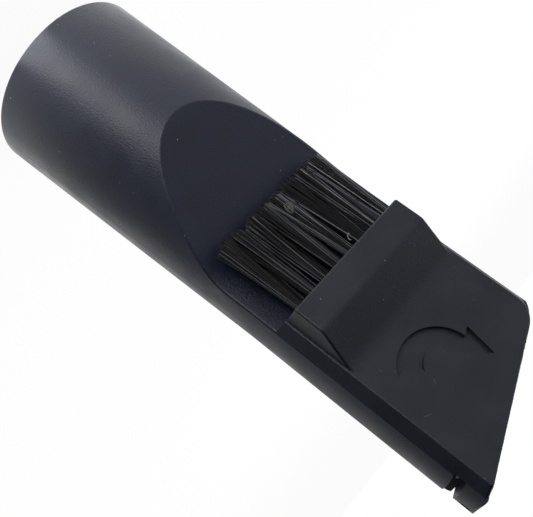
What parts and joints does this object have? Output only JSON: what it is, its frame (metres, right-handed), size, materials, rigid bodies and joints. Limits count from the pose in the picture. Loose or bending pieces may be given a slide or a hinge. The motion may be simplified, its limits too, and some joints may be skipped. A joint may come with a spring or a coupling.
{
  "type": "vacuum crevice nozzle with flip-over dusting brush",
  "caption": "Tapered round crevice nozzle with a slanted flat nose and a hinged bristle holder that flips over the tip.",
  "frame": {"origin": "centre of the inlet rim's end face, which the part stands on", "axes": "+Z along the tube from the inlet rim to the tip, -Y towards the brush side, +X towards the longer side of the slanted tip"},
  "size_m": [0.035, 0.035, 0.1057],
  "materials": {
    "body_plastic": "satin, fine grain",
    "holder_plastic": "satin, fine grain",
    "bristle": "nylon filament",
    "wire": "plain wire",
    "pin_steel": "blackened"
  },
  "bodies": {
    "nozzle": {"nozzle_body": "body_plastic", "near_hinge_pin": "pin_steel", "far_hinge_pin": "pin_steel"},
    "brush": {"brush_holder": "holder_plastic", "bristle_tuft_01": "bristle", "bristle_tuft_02": "bristle", "bristle_tuft_03": "bristle", "bristle_tuft_04": "bristle", "bristle_tuft_05": "bristle", "bristle_tuft_06": "bristle", "bristle_tuft_07": "bristle", "bristle_tuft_08": "bristle", "bristle_tuft_09": "bristle", "bristle_tuft_10": "bristle", "bristle_tuft_11": "bristle", "bristle_tuft_12": "bristle", "bristle_tuft_13": "bristle", "bristle_tuft_14": "bristle", "bristle_tuft_15": "bristle", "tuft_anchors": "wire"}
  },
  "joints": [
    {"name": "brush_flip", "type": "hinge", "parent": "nozzle", "child": "brush", "pos_m": [0, 0.003, 0.09799], "axis": [-0.9336, 0, -0.3584], "range_deg": [0, 180]}
  ]
}
